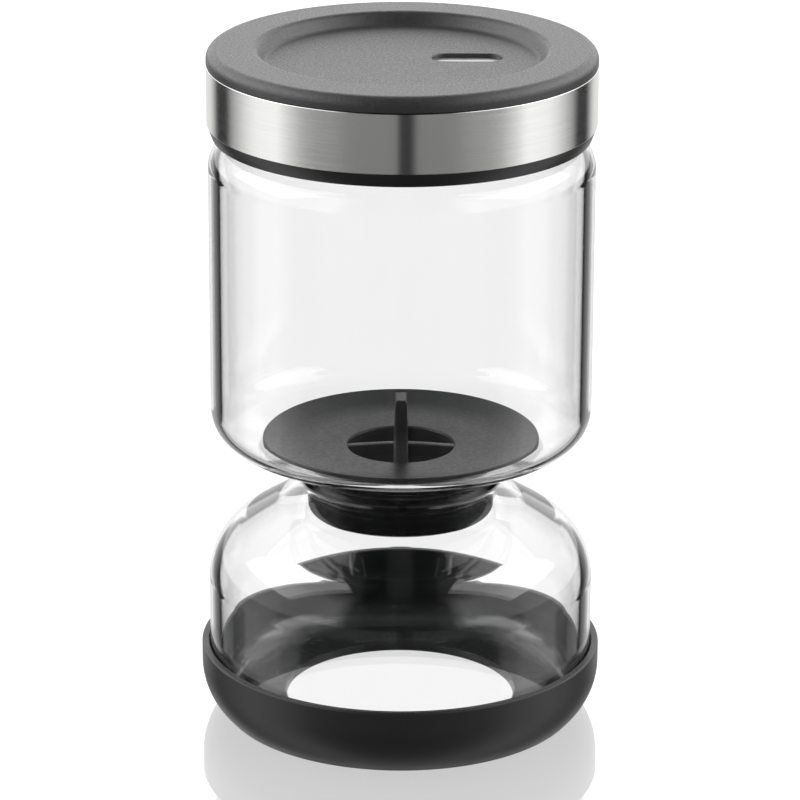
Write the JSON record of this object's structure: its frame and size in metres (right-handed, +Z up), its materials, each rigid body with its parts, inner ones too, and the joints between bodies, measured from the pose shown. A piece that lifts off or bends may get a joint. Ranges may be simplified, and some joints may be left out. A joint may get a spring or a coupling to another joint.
{
  "type": "pickle keeper with lift strainer",
  "caption": "Glass pickle keeper with two chambers, a funnel strainer that lifts out of the neck by its fin, a soft foot ring and a steel-banded screw lid.",
  "frame": {"origin": "on the axis, in the plane the foot ring stands on", "axes": "+Z up along the axis through both chambers; the lifting fin lies in the YZ plane and the cross bar along X; -Y is the front"},
  "size_m": [0.1164, 0.1164, 0.1992],
  "materials": {
    "clear_glass": "clear blown glass, polished",
    "soft_black_foot": "matte moulded silicone",
    "black_strainer": "satin moulded polypropylene",
    "black_silicone": "satin moulded silicone",
    "pale_silicone": "translucent moulded silicone",
    "black_cap": "satin moulded polypropylene",
    "brushed_band": "stainless strip, brushed round the ring",
    "black_cover": "fine-grained moulded plastic",
    "polished_badge": "plain polished plate"
  },
  "bodies": {
    "jar": {"glass_jar": "clear_glass", "foot_ring": "soft_black_foot"},
    "strainer": {"strainer_funnel": "black_strainer", "strainer_seal": "black_silicone"},
    "gasket": {"lid_gasket": "pale_silicone"},
    "lid": {"screw_cap": "black_cap", "steel_band": "brushed_band", "lid_cover": "black_cover", "badge_plate": "polished_badge"}
  },
  "joints": [
    {"name": "strainer_lift", "type": "slide", "parent": "jar", "child": "strainer", "axis": [0, 0, 1], "range_m": [0, 0.09]},
    {"name": "lid_lift", "type": "slide", "parent": "jar", "child": "gasket", "axis": [0, 0, 1], "range_m": [0, 0.03]},
    {"name": "lid_turn", "type": "hinge", "parent": "gasket", "child": "lid", "pos_m": [0, 0, 0.182], "axis": [0, 0, 1], "range_deg": [0, 720]}
  ],
  "couplings": [
    {"joint": "lid_lift", "follows": "lid_turn", "m_per_rad": 0.0023873}
  ]
}
